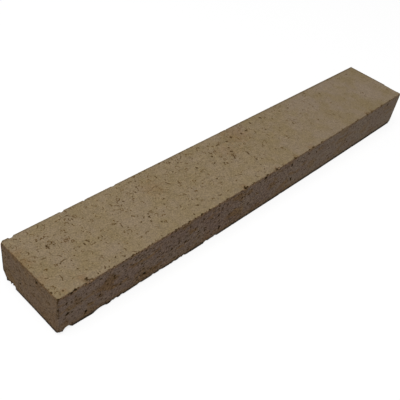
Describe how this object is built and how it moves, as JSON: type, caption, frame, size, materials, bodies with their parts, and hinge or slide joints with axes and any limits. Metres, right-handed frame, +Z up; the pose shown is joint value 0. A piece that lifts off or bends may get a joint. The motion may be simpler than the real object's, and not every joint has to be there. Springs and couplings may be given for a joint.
{
  "type": "refractory firebrick",
  "caption": "Long rectangular bar of fired refractory clay with a rough speckled skin and chipped arrises, laid to line or bridge hot surfaces in hearths, stoves and kilns.",
  "frame": {"origin": "middle of the bottom bed that the brick lies on", "axes": "+X along the brick to its far end, +Y across it to the straight back face, +Z up through its thickness"},
  "size_m": [0.5, 0.075, 0.043],
  "materials": {
    "fireclay": "matte"
  },
  "bodies": {
    "root": {"firebrick": "fireclay"}
  },
  "joints": []
}
